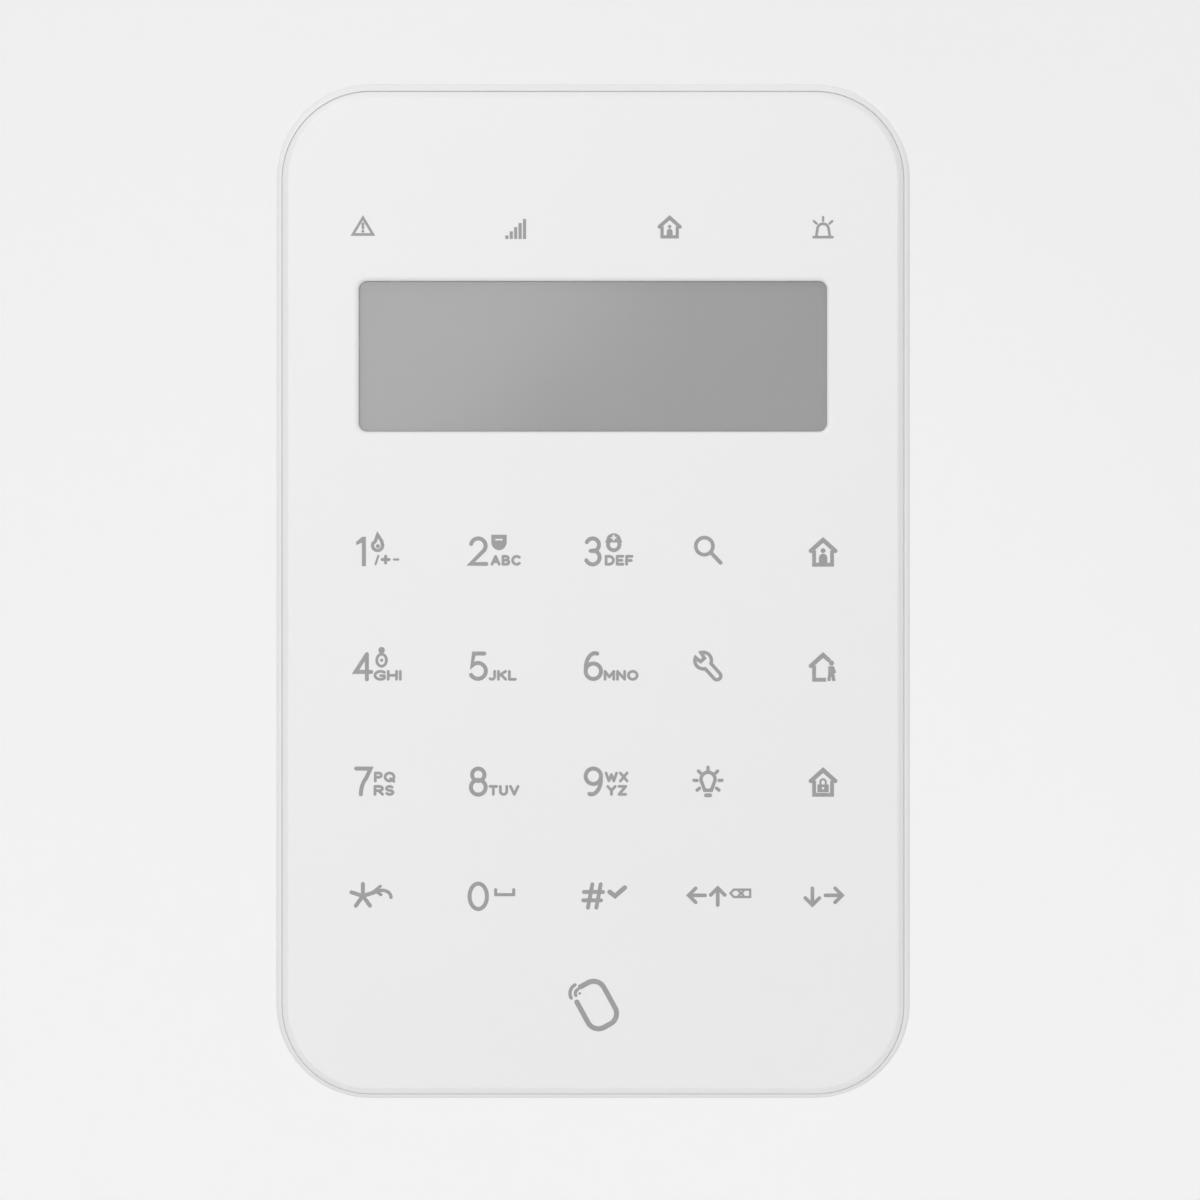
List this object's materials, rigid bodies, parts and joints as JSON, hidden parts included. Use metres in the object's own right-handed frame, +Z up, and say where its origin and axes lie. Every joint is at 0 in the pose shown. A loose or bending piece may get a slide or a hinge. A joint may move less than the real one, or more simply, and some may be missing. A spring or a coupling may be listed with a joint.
{
  "type": "alarm keypad panel",
  "caption": "Wall-mounted wireless alarm keypad: flat white touch panel with a text display, status icons and a tag reader, hung on a screwed wall plate.",
  "frame": {"origin": "on the wall plane, centre of the casing outline", "axes": "+Z up, +Y into the wall, -Y into the room, +X to the right seen from the room"},
  "size_m": [0.095, 0.0275, 0.152],
  "materials": {
    "casing": "fine texture",
    "panel": "polished",
    "plate": "fine texture",
    "window": "polished",
    "display_glass": "polished",
    "polariser": "satin",
    "foam": "matt",
    "tape": "matt",
    "bezel": "satin",
    "diffuser": "frosted",
    "light_block": "matt",
    "circuit_board": "satin",
    "gold_pads": "plated",
    "led": "clear",
    "ferrite": "matt",
    "coil_copper": "enamelled",
    "chip": "matt",
    "tinned_steel": "tinned",
    "black_plastic": "matt",
    "spring_steel": "bright",
    "nickel": "plated",
    "plunger": "satin",
    "switch_slider": "satin",
    "battery_sleeve": "shrink film",
    "connector": "satin",
    "lead_red": "satin",
    "lead_black": "satin",
    "legend_ink": "screen printed",
    "screw_steel": "zinc plated",
    "lock_screw_steel": "bright"
  },
  "bodies": {
    "wall_plate": {"wall_plate": "plate"},
    "housing": {"battery_1": "battery_sleeve", "battery_2": "battery_sleeve", "battery_3": "battery_sleeve", "battery_4": "battery_sleeve", "battery_connector": "connector", "battery_contacts": "nickel", "battery_lead_negative": "lead_black", "battery_lead_positive": "lead_red", "battery_springs": "nickel", "board_passives": "chip", "board_screws": "screw_steel", "buzzer": "black_plastic", "case_screws": "screw_steel", "circuit_board": "circuit_board", "display_backlight": "diffuser", "display_bezel": "bezel", "display_gasket": "foam", "display_glass": "display_glass", "display_pins": "tinned_steel", "display_polariser": "polariser", "display_window": "window", "ferrite_sheet": "ferrite", "front_frame": "casing", "front_panel": "panel", "key_light_guide": "diffuser", "key_lights": "led", "microcontroller": "chip", "panel_tape": "tape", "power_switch": "tinned_steel", "radio_antenna": "tinned_steel", "radio_module": "tinned_steel", "rear_shell": "casing", "status_light_block": "light_block", "status_light_pipe_1": "diffuser", "status_light_pipe_2": "diffuser", "status_light_pipe_3": "diffuser", "status_light_pipe_4": "diffuser", "status_lights": "led", "tag_antenna": "coil_copper", "tag_reader_chip": "chip", "tamper_spring": "spring_steel", "tamper_switch": "black_plastic", "touch_pads": "gold_pads"},
    "tamper_plunger": {"tamper_plunger": "plunger"},
    "power_slider": {"power_slider": "switch_slider"},
    "lock_screw": {"lock_screw": "lock_screw_steel"}
  },
  "joints": [
    {"name": "housing_lift", "type": "slide", "parent": "wall_plate", "child": "housing", "axis": [0, 0, 1], "range_m": [0, 0.006]},
    {"name": "tamper_travel", "type": "slide", "parent": "housing", "child": "tamper_plunger", "axis": [0, 1, 0], "range_m": [0, 0.0015], "stiffness_N_per_m": 300, "springref_m": 0.003, "deforming": ["tamper_spring"]},
    {"name": "power_slide", "type": "slide", "parent": "housing", "child": "power_slider", "axis": [1, 0, 0], "range_m": [0, 0.002]},
    {"name": "lock_screw_out", "type": "slide", "parent": "housing", "child": "lock_screw", "axis": [0, 0, -1], "range_m": [0, 0.006]}
  ]
}
